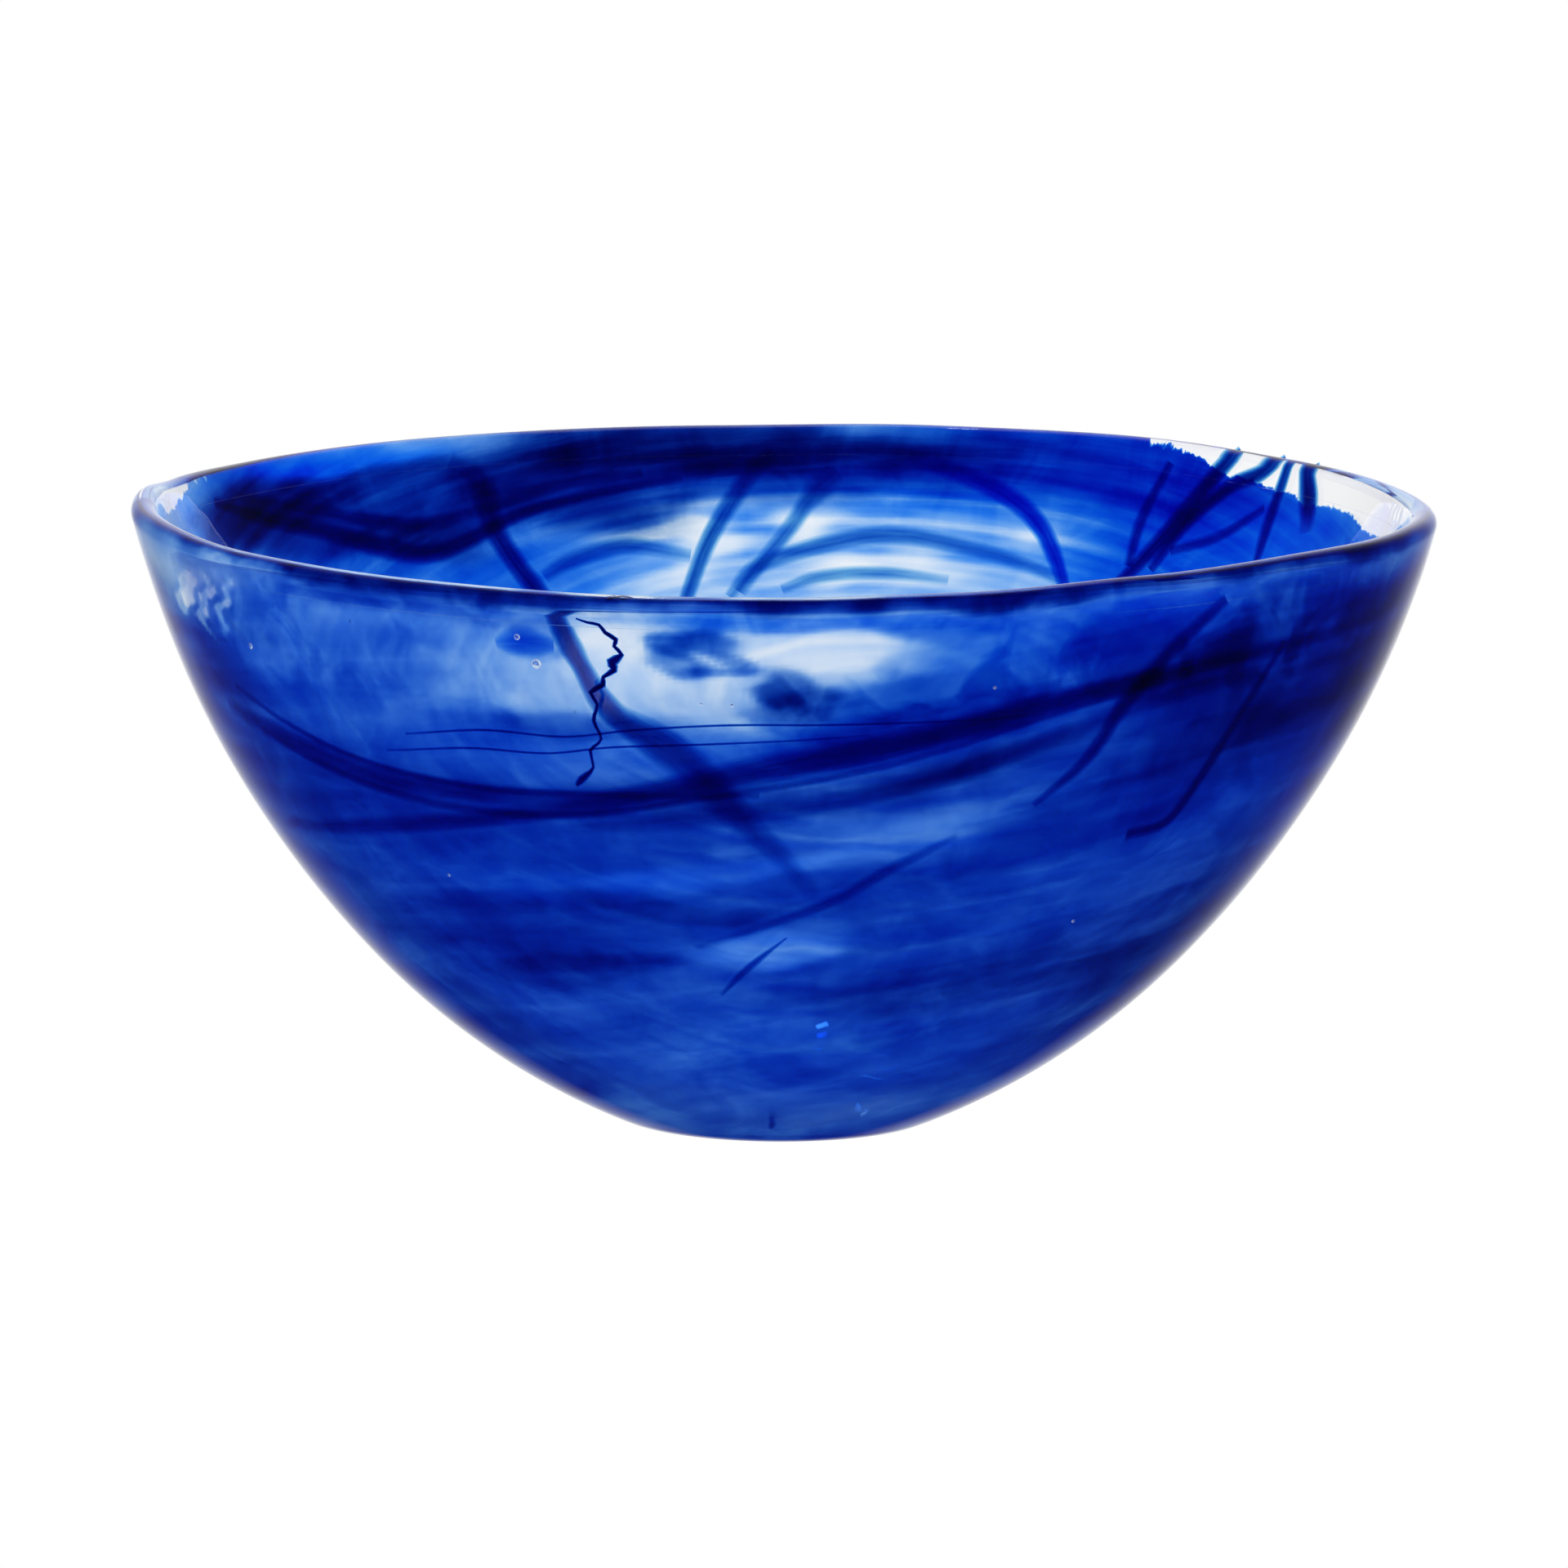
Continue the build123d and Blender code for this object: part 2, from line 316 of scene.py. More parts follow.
new_piece("clear_lining_glass", points, faces, [fire_polished, fused], face_materials,
          ["clear_lining"])

# ---------------------------------------------------------------------------------------------
# The cobalt veil, a cup of deep blue glass rolled thin on to the first gather and fused there. It
# drew out unevenly and folded on itself, so it runs from pale sky to navy, and it is torn at the
# rim. Its mesh carries how deep the blue is at each point, and the shader tints light by that.
sea_edge = [(-100, 152), (-80, 150), (-66, 138), (-58, 125), (-46, 118), (-30, 113), (-6, 112),
            (10, 121), (21, 128), (30, 131), (39, 143), (47, 149), (58, 155), (78, 158), (100, 150)]
clear_margin = [(-115, 1.5), (-108, 2.5), (-103, 5), (-97, 8), (-91, 5), (-84, 1.5), (-40, 1.5),
                (0, 1.5), (60, 1.5), (84, 1.5), (92, 5), (101, 14), (108, 12.5), (114, 11),
                (119, 10.5), (123, 9), (127, 9), (133, 6.5), (138, 3), (146, 1.5), (200, 1.5),
                (240, 2)]
washes = [
    # angle, height, half angle, half height, rise in mm per degree, softness, cobalt, navy
    # the pool at the far wall's left shoulder, and the fold that runs on from it under the rim
    (224, 148, 18, 12.5, 0.0, 0.10, 0.75, 0.9),
    (239, 155, 11, 9, 0.0, 0.16, 0.7, 1.0),
    (218, 138, 6, 5, 0.2, 0.20, 0.0, 0.7),
    (247, 151, 7, 8, 0.0, 0.18, 0.4, 1.0),
    (232, 162.5, 12, 2.4, 0.0, 0.30, 0.9, -0.9),
    (200, 150, 10, 11, 0.1, 0.18, 0.8, 1.1),
    (186, 160, 24, 5.2, 0.0, 0.22, 0.5, 1.7),
    (177, 153, 14, 6, 0.0, 0.25, 1.0, 0.7),
    (207, 127, 12, 9, 0.1, 0.20, 0.6, 0.1),
    (229, 133, 9, 8, 0.0, 0.25, 0.7, 0.25),
    # the royal blue of the far wall's right
    (148, 156, 21, 9, 0.0, 0.20, 1.4, 0.35),
    (137, 142, 11, 20, 0.1, 0.20, 1.3, 0.1),
    (121, 146, 9, 10, 0.0, 0.18, 0.9, 0.0),
    (108, 143, 9, 12, 0.0, 0.25, 0.5, 0.1),
    # the pale fan in the middle of the far wall, with the whitest patches where it drew thinnest
    (172, 124, 26, 22, 0.0, 0.20, -0.08, -0.10),
    (197, 137.5, 4.5, 2.4, -0.2, 0.25, -0.35, 0.0),
    (187, 147, 7, 3.0, -0.35, 0.25, -0.4, -0.1),
    (193.5, 139, 5, 4, 0.0, 0.25, -0.4, 0.0),
    (195, 124, 8, 4.0, 0.1, 0.25, -0.3, 0.0),
    (189, 141, 4, 3.0, -0.35, 0.20, -0.2, -0.1),
    (156, 131, 5, 4, 0.0, 0.25, 0.3, 0.0),
    (178.5, 139, 3.2, 8, 0.0, 0.25, -0.35, 0.0),
    (188, 133, 3.4, 7, 0.0, 0.25, -0.3, 0.0),
    (173, 125, 2.8, 5, 0.0, 0.30, -0.25, 0.0),
    (163, 128, 8, 4.0, -0.1, 0.25, -0.25, 0.0),
    (153, 138, 4, 3.5, -0.6, 0.25, -0.3, 0.0),
    (165, 145, 8, 3.5, -0.2, 0.25, 0.45, 0.0),
    (184.8, 138.6, 4, 3, 0.3, 0.25, 0.25, 0.0),
    (145, 139, 2.6, 6, 0.0, 0.30, -0.35, 0.0),
    (184, 95, 34, 19, 0.0, 0.22, -0.3, -0.12),
    # the front above the long band, thin and milky, thicker to the left
    (-51, 142, 15, 17, 0.0, 0.14, 0.26, 0.14),
    (-37, 140, 7, 20, 0.0, 0.10, 0.1, 0.06),
    (-62, 134, 7, 10, 0.0, 0.25, 0.2, 0.3),
    (-66.5, 151, 2.0, 6, 0.0, 0.08, -0.6, -0.4),
    (-62, 150, 1.1, 8, 0.0, 0.08, -0.5, -0.3),
    (-58.5, 151, 0.8, 7, 0.0, 0.08, -0.4, -0.3),
    (-76, 150, 5, 9, 0.0, 0.20, -0.15, 0.1),
    (-15.5, 151, 4.4, 11, 0.0, 0.12, -0.1, -0.05),
    (200, 112, 9, 10, 0.0, 0.25, -0.2, -0.1),
    (-22, 155, 3.2, 5.5, 0.0, 0.10, 0.2, 0.1),
    (-27, 128, 5, 6, 0.0, 0.12, 0.2, 0.1),
    (-8.6, 154.5, 2.6, 2.8, 0.4, 0.14, 0.55, 0.35),
    (-5.6, 155.5, 2.6, 2.6, -0.3, 0.14, 0.45, 0.3),
    (-9.6, 149.5, 1.8, 3.4, 0.0, 0.16, 0.35, 0.3),
    (-4.6, 150.2, 1.7, 3.2, 0.3, 0.16, 0.4, 0.35),
    (-7.2, 147.4, 3.2, 1.3, 0.0, 0.20, 0.35, 0.25),
    (-0.6, 142, 2.6, 4.6, -0.5, 0.14, 0.4, 0.6),
    (0.8, 138.4, 3.2, 3.4, 0.4, 0.16, 0.35, 0.6),
    (5.4, 134, 2.6, 3, 0.0, 0.20, -0.2, -0.1),
    (-17, 131, 8, 4, 0.1, 0.15, 0.3, 0.35),
    (4.2, 152.5, 7, 6, 0.3, 0.07, -0.12, -0.06),
    (4, 160, 14, 2.4, 0.0, 0.20, 0.6, 0.0),
    (-36, 161, 16, 2.2, 0.0, 0.30, 0.2, 0.25),
    (-12, 125, 24, 5, 0.15, 0.30, 0.4, 0.15),
    (13, 135, 11, 10, 0.2, 0.16, 1.0, 0.5),
    (18, 133, 12, 8, 0.3, 0.20, 0.4, 0.25),
    (18, 121, 7, 4, 0.5, 0.25, 0.0, 0.2),
    # the front's right shoulder, the darkest glass of the bowl
    (23, 154, 11, 9, 0.0, 0.16, 0.65, 0.15),
    (36, 146, 12, 12, 0.2, 0.18, 0.5, 0.4),
    (54, 138, 15, 20, 0.1, 0.20, 0.3, 0.75),
    (48, 122, 9, 12, 0.3, 0.25, 0.0, 0.55),
    (40, 142, 9, 7, 0.3, 0.20, 0.1, 0.6),
    (17, 120, 9, 4, 0.5, 0.25, 0.1, 0.5),
    (74, 130, 14, 26, 0.0, 0.25, 0.25, 0.4),
    # a thicker line of navy just under the lip
    (0, 168.5, 104, 5, 0.0, 0.10, 0.8, 1.5),
    # below the band: a blue sea with darker masses to either side and pale tongues between
    (-10, 110, 15, 5.5, 0.1, 0.20, 0.0, 0.35),
    (-46, 106, 16, 10, 0.1, 0.25, 0.1, 0.2),
    (6, 105, 6, 4, 0.3, 0.25, -0.1, -0.2),
    (19, 108, 8, 3, 0.5, 0.25, -0.25, -0.25),
    (36, 108, 12, 14, 0.0, 0.30, 0.25, 0.25),
    (-22, 85, 16, 5, 0.2, 0.16, 0.0, -0.25),
    (-36, 70, 20, 11, 0.2, 0.14, 0.1, 0.25),
    (-26, 59, 13, 5, 0.3, 0.12, 0.15, 0.4),
    (-1.5, 69, 9, 5.5, 0.4, 0.16, -0.3, -0.5),
    (10, 98, 10, 6, 0.4, 0.25, -0.22, -0.35),
    (-6, 91, 12, 3.5, 0.3, 0.14, 0.0, -0.25),
    (-12, 80, 12, 3.6, -0.2, 0.12, 0.1, 0.35),
    (28, 56, 22, 9, 0.1, 0.14, 0.0, 0.45),
    (56, 62, 18, 24, 0.0, 0.25, -0.1, 0.5),
    (-2, 42, 14, 8, 0.2, 0.25, -0.05, -0.15),
    (-4, 30, 22, 9, 0.0, 0.30, -0.05, -0.1),
    (20, 14, 24, 7, 0.0, 0.30, -0.3, -0.2),
]


def veil_at(angle, height):
    """Depth of cobalt and of navy at each angle and height, without the shader's fine streaks."""
    turn = np.radians(angle)
    front = np.clip((105 - np.abs((angle + 180) % 360 - 180)) / 20, 0, 1)
    cobalt = 0.09 + 0.29 * (1 - front) + 0.04 * np.sin(3 * turn + height / 30)
    navy = 0.05 + 0.1 * (1 - front) * np.clip((120 - height) / 30, 0, 1)
    drift = 1.6 * np.sin(7 * turn + height / 9) + 1.1 * np.sin(17 * turn - height / 5.3 + 1)
    drift += 0.7 * np.sin(41 * turn + height / 3.1)
    sway = 1.3 * np.sin(height / 6 + 3 * turn) + 0.8 * np.sin(height / 2.7 - 9 * turn)
    sway += 0.5 * np.sin(height / 1.3 + 31 * turn)
    below = (round_the_bowl(angle, sea_edge) - height + 0.4 * drift) / 4.5
    sea = front / (1 + np.exp(np.clip(-below, -30, 30)))
    cobalt += 0.42 * sea
    navy += 0.42 * sea
    for centre, level, across, tall, rise, softness, more_cobalt, more_navy in washes:
        aside = (angle + sway - centre + 180) % 360 - 180
        above = height + drift * 0.6 - level - rise * aside
        reach = np.sqrt((aside / across) ** 2 + (above / tall) ** 2)
        share = 1 / (1 + np.exp(np.clip((reach - 1) / softness, -30, 30)))
        cobalt += more_cobalt * share
        navy += more_navy * share
    # The fan is drawn in arcs 5 or 6 mm apart
    from_fan = ((angle - 170 + 180) % 360 - 180) * 0.9
    ring = np.hypot(from_fan, height - 92) + 0.8 * np.sin(5 * turn)
    arcs = np.sin(ring * 1.13) + 0.6 * np.sin(ring * 1.9 + 1) + 0.5 * np.sin(ring * 0.61 + 2)
    in_fan = (1 - front) * np.clip(1.3 - np.abs(from_fan) / 34, 0, 1)
    in_fan = in_fan * np.clip((154 - height) / 8, 0, 1)
    cobalt *= 1 + 0.26 * arcs * in_fan
    # Painted light: the tint is eased toward the foot, where light goes through the veil many times
    painted_foot_light = np.clip((height - 4) / 26, 0, 1) * 0.2 + 0.8
    return np.maximum(cobalt, 0.03) * painted_foot_light, np.maximum(navy, 0.0) * painted_foot_light


veil_around = 600
coarse = 5
up_the_lip = np.array([-math.sin(lip_lean), math.cos(lip_lean)])
outer_rings = round_bottom(casing_wall, 34)[:-1] + upper_wall(casing_wall, 132)
inner_rings = round_bottom(casing_wall + 0.5, 8)[:-1] + upper_wall(casing_wall + 0.5, 22)
for rings in (outer_rings, inner_rings):
    top = np.array(rings[-1])
    rings += [tuple(top + up_the_lip * rise) for rise in (0.9, 1.7, 2.4)]
points, faces, _ = spin(outer_rings + [(0.0, 0.0)], veil_around)
points = points[:-1]
last_ring = 1 + (len(outer_rings) - 2) * veil_around
faces = [face for face in faces if max(face) < len(points)]
inner_around = veil_around // coarse
inner_points, inner_faces, _ = spin(inner_rings + [(0.0, 0.0)], inner_around)
inner_points = inner_points[:-1]
outer_count = len(points)
inner_last = outer_count + 1 + (len(inner_rings) - 2) * inner_around
for face in inner_faces:
    if max(face) < len(inner_points):
        faces.append(tuple(outer_count + vertex for vertex in face[::-1]))
for k in range(inner_around):
    top = [last_ring + (k * coarse + j) % veil_around for j in range(coarse + 1)]
    faces.append((*top, inner_last + (k + 1) % inner_around, inner_last + k))
points += inner_points

veil_glass, tree, output = new_material("cobalt_veil_glass")
depths = add(tree, "Attribute", attribute_name="depths", attribute_type="GEOMETRY")
flow = add(tree, "Attribute", attribute_name="flow", attribute_type="GEOMETRY")
fan_flow = add(tree, "Attribute", attribute_name="fan_flow", attribute_type="GEOMETRY")
fan_share = add(tree, "Attribute", attribute_name="fan_share", attribute_type="GEOMETRY")
parts = add(tree, "SeparateXYZ", {0: depths.outputs["Vector"]})
place = add(tree, "TexCoord")
# Drawn streaks, 3 to 8 mm apart, long in the way the glass was turned
streaks, fan_streaks = [add(tree, "TexNoise", {
    "Vector": drawn.outputs["Vector"], "Scale": 1.0, "Detail": 4.0, "Roughness": 0.5,
    "Distortion": 0.3}) for drawn in (flow, fan_flow)]
all_streaks = add(tree, "Mix", {0: fan_share.outputs["Fac"], 2: streaks.outputs["Fac"],
                                3: fan_streaks.outputs["Fac"]})
streaked = add(tree, "MapRange", {"Value": all_streaks.outputs[0], "From Min": 0.3, "From Max": 0.7,
                                  "To Min": 0.68, "To Max": 1.32})
# Slow swirls 30 mm across, where the veil stretched
swirls = add(tree, "TexNoise", {
    "Vector": place.outputs["Object"], "Scale": 34.0, "Detail": 4.0, "Roughness": 0.6,
    "Distortion": 1.6})
swirled = add(tree, "MapRange", {"Value": swirls.outputs["Fac"], "From Min": 0.3, "From Max": 0.7,
                                 "To Min": 0.78, "To Max": 1.22})
# Clouded patches 12 to 18 mm across with crisp sides, only in the thin glass of the front's upper
# wall
patches = add(tree, "TexNoise", {
    "Vector": place.outputs["Object"], "Scale": 62.0, "Detail": 2.5, "Roughness": 0.5,
    "Distortion": 0.9})
clouded = add(tree, "MapRange", {"Value": patches.outputs["Fac"], "From Min": 0.42,
                                 "From Max": 0.58, "To Min": 0.72, "To Max": 1.22})
high_up = add(tree, "MapRange", {"Value": parts.outputs["Z"], "From Min": 28.0, "From Max": 44.0,
                                 "To Min": 1.0, "To Max": 0.0})
form = add(tree, "SeparateXYZ", {0: place.outputs["Object"]})
at_front = add(tree, "MapRange", {"Value": form.outputs["Y"], "From Min": -0.11, "From Max": -0.05,
                                  "To Min": 1.0, "To Max": 0.0})
thin_front = add(tree, "Math", {0: high_up.outputs[0], 1: at_front.outputs[0]},
                 operation="MULTIPLY")
patchy = add(tree, "Mix", {0: thin_front.outputs[0], 2: 1.0, 3: clouded.outputs[0]})
drawn_out = add(tree, "Math", {0: streaked.outputs[0], 1: swirled.outputs[0]}, operation="MULTIPLY")
uneven = add(tree, "Math", {0: drawn_out.outputs[0], 1: patchy.outputs[0]}, operation="MULTIPLY")
# The torn edge: little jags 1 to 4 mm long
jags = add(tree, "TexNoise", {
    "Vector": place.outputs["Object"], "Scale": 300.0, "Detail": 5.0, "Roughness": 0.6})
jagged = add(tree, "Math", {0: jags.outputs["Fac"], 1: 4.4, 2: -2.2}, operation="MULTIPLY_ADD")
inside = add(tree, "Math", {0: parts.outputs["Z"], 1: jagged.outputs[0]}, operation="ADD")
torn = add(tree, "MapRange", {"Value": inside.outputs[0], "From Min": 0.0, "From Max": 0.7})
kept = add(tree, "Math", {0: uneven.outputs[0], 1: torn.outputs[0]}, operation="MULTIPLY")
# A simplification: the veil tints light less once the wall has mirrored it, down to a tenth after
# two mirrorings, so that light trapped in the wall doesn't turn it black
path = add(tree, "LightPath")
grazed = add(tree, "MapRange", {"Value": path.outputs["Glossy Depth"], "From Min": 0.0,
                                "From Max": 2.0, "To Min": 1.0, "To Max": 0.1})
met = add(tree, "Math", {0: kept.outputs[0], 1: grazed.outputs[0]}, operation="MULTIPLY")
cobalt_depth = add(tree, "Math", {0: parts.outputs["X"], 1: met.outputs[0]}, operation="MULTIPLY")
navy_depth = add(tree, "Math", {0: parts.outputs["Y"], 1: met.outputs[0]}, operation="MULTIPLY")
# What one full overlay of each lets through; a deeper one lets through that colour to its power.
# Where the cobalt is thin it is drawn into hairs, and white light slips through between them.
between = add(tree, "Math", {0: 0.0067, 1: cobalt_depth.outputs[0]}, operation="POWER")
in_hair = add(tree, "Math", {0: cobalt_depth.outputs[0], 1: 0.63}, operation="ADD")
cobalt = add(tree, "Gamma", {"Color": linear("#1995F3"), "Gamma": in_hair.outputs[0]})
thinned = add(tree, "Mix", {0: between.outputs[0], 6: cobalt.outputs[0], 7: (1.0, 1.0, 1.0, 1.0)},
              data_type="RGBA")
navy = add(tree, "Gamma", {"Color": linear("#3F67A4"), "Gamma": navy_depth.outputs[0]})
both = add(tree, "Mix", {0: 1.0, 6: thinned.outputs[2], 7: navy.outputs[0]},
           data_type="RGBA", blend_type="MULTIPLY")
veil_shader = add(tree, "BsdfTransparent", {"Color": both.outputs[2]})
tree.links.new(veil_shader.outputs[0], output.inputs["Surface"])

true = np.array(points)
angle = np.degrees(np.arctan2(true[:, 0], -true[:, 1])) % 360
height = true[:, 2]
turn = np.radians(angle)
cobalt_depths, navy_depths = veil_at(angle, height)
cobalt_depths[outer_count:] = 0.0
navy_depths[outer_count:] = 0.0
margin = round_the_bowl(angle, clear_margin)
ragged = 0.8 * np.sin(23 * turn + height / 7) + 0.4 * np.sin(57 * turn + 2)
inside_edge = bowl_height - height - margin - ragged * np.clip((margin - 2) / 6, 0, 1)
inside_edge = inside_edge + 2.2 * (margin < 2)
cobalt_veil = new_piece("cobalt_veil_glass", points, faces, [veil_glass], None, ["cobalt_veil"])
mesh = cobalt_veil.data
# Each point holds the cobalt, the navy of the folds, and how far it lies inside the torn edge in mm
values = np.stack([cobalt_depths, navy_depths, inside_edge], 1).astype(np.float32)
mesh.attributes.new("depths", "FLOAT_VECTOR", "POINT").data.foreach_set("vector", values.ravel())
# The front was drawn up to the right; the far wall was drawn in a fan about a point low in it
aside = (angle + 180) % 360 - 180
far = np.clip((np.abs(aside) - 75) / 40, 0, 1)
front_line = height - 22 * np.sin(np.radians(np.clip(aside, -90, 90)))
fan_line = np.hypot(((angle - 170 + 180) % 360 - 180) * 0.9, height - 92)
front_flow = np.stack([front_line / 8, true[:, 0] / 70, true[:, 1] / 70], 1)
far_flow = np.stack([fan_line / 4, true[:, 0] / 50, height / 50], 1)
for name, drawn in (("flow", front_flow), ("fan_flow", far_flow)):
    layer = mesh.attributes.new(name, "FLOAT_VECTOR", "POINT")
    layer.data.foreach_set("vector", drawn.astype(np.float32).ravel())
mesh.attributes.new("fan_share", "FLOAT", "POINT").data.foreach_set("value", far.astype(np.float32))

# ---------------------------------------------------------------------------------------------
# The trails laid on the veil: threads of dark glass drawn from a gather and trailed on hot. The
# casing pressed them flat, with thin soft edges; two are of royal blue, the rest nearly black.
def thread_material(name, colour):
    """Glass of a drawn thread: what it lets through is its colour to the power of its depth."""
    material, tree, output = new_material(name)
    depth = add(tree, "Attribute", attribute_name="thread_depth", attribute_type="GEOMETRY")
    drawn = add(tree, "Attribute", attribute_name="flow", attribute_type="GEOMETRY")
    # Cords in a drawn thread run its whole length, a fraction of a millimetre apart
    cords = add(tree, "TexNoise", {"Vector": drawn.outputs["Vector"], "Scale": 1.0, "Detail": 3.0})
    corded = add(tree, "MapRange", {"Value": cords.outputs["Fac"], "From Min": 0.3, "From Max": 0.7,
                                    "To Min": 0.95, "To Max": 1.75})
    true_depth = add(tree, "Math", {0: depth.outputs["Fac"], 1: corded.outputs[0]},
                     operation="MULTIPLY")
    tinted = add(tree, "Gamma", {"Color": linear(colour), "Gamma": true_depth.outputs[0]})
    shader = add(tree, "BsdfTransparent", {"Color": tinted.outputs[0]})
    tree.links.new(shader.outputs[0], output.inputs["Surface"])
    return material


dark_trail = thread_material("dark_trail_glass", "#1257B8")
royal_trail = thread_material("royal_blue_trail_glass", "#1560E0")


def smooth_route(stops, step):
    """A smooth line through the stops, with a point about every step millimetres."""
    stops = np.array(stops, float)
    stops = np.vstack([2 * stops[0] - stops[1], stops, 2 * stops[-1] - stops[-2]])
    line = []
    for i in range(1, len(stops) - 2):
        a, b, c, d = stops[i - 1:i + 3]
        across = math.radians(abs(c[0] - b[0])) * 160
        count = max(2, int(math.hypot(across, c[1] - b[1]) / step))
        for t in np.arange(count) / count:
            line.append(0.5 * (2 * b + (c - a) * t + (2 * a - 5 * b + 4 * c - d) * t**2
                               + (3 * b - a - 3 * c + d) * t**3))
    line.append(stops[-2])
    return np.array(line)


edge_softness = 1.7
thread_tint = 0.6


def strand(stops, layer_depth, thickness, folds=10):
    """One pressed thread as points, faces, depths and flow, through stops of (angle, height,
    width, depth)."""
    line = smooth_route(stops, 1.6)
    turn = np.radians(line[:, 0])
    radius = wall_radius(line[:, 1], layer_depth)
    centre = np.stack([radius * np.sin(turn), -radius * np.cos(turn), line[:, 1]], 1)
    along = np.gradient(centre, axis=0)
    along /= np.linalg.norm(along, axis=1)[:, None]
    near = wall_radius(np.array([line[:, 1] - 0.5, line[:, 1] + 0.5]), layer_depth)
    steep = np.gradient(near, axis=0)[0]
    normal = np.stack([np.sin(turn), -np.cos(turn), -steep], 1)
    normal /= np.linalg.norm(normal, axis=1)[:, None]
    side = np.cross(normal, along)
    length = np.concatenate([[0], np.cumsum(np.linalg.norm(np.diff(centre, axis=0), axis=1))])
    points, depths, flows = [], [], []
    shares = np.linspace(-1, 1, folds + 1)
    loop = [(s, 1) for s in shares] + [(s, -1) for s in shares[-2:0:-1]]
    for i in range(len(line)):
        half = max(line[i, 2], 0.2) / 2
        for share, face in loop:
            spot = centre[i] + side[i] * share * half
            turned = math.atan2(spot[0], -spot[1])
            lens = max(1 - share * share, 0.0)
            out = wall_radius(spot[2], layer_depth - face * thickness / 2 * lens * min(1, half))
            points.append((float(out) * math.sin(turned), -float(out) * math.cos(turned), spot[2]))
            depths.append(max(line[i, 3], 0) * lens**edge_softness * thread_tint)
            flows.append((length[i] / 14, share * half / 0.9, face))
    ring = len(loop)
    faces = [tuple(range(ring))[::-1]]
    for i in range(len(line) - 1):
        for k in range(ring):
            after = (k + 1) % ring
            low, high = i * ring, (i + 1) * ring
            faces.append((low + k, low + after, high + after, high + k))
    faces.append(tuple((len(line) - 1) * ring + k for k in range(ring)))
    return points, faces, depths, flows


def lay_trail(name, strands, layer_depth, material):
    """A trail of one or more strands, each a little deeper than the last so that none touch."""
    points, faces, depths, flows = [], [], [], []
    for number, stops in enumerate(strands):
        made = strand(stops, layer_depth + 0.11 * number, 0.18 if number else 0.3)
        faces += [tuple(len(points) + vertex for vertex in face) for face in made[1]]
        points += made[0]
        depths += made[2]
        flows += made[3]
    mesh = new_piece(name + "_glass", points, faces, [material], None, [name]).data
    mesh.attributes.new("thread_depth", "FLOAT", "POINT").data.foreach_set("value", depths)
    mesh.attributes.new("flow", "FLOAT_VECTOR", "POINT").data.foreach_set("vector", np.ravel(flows))


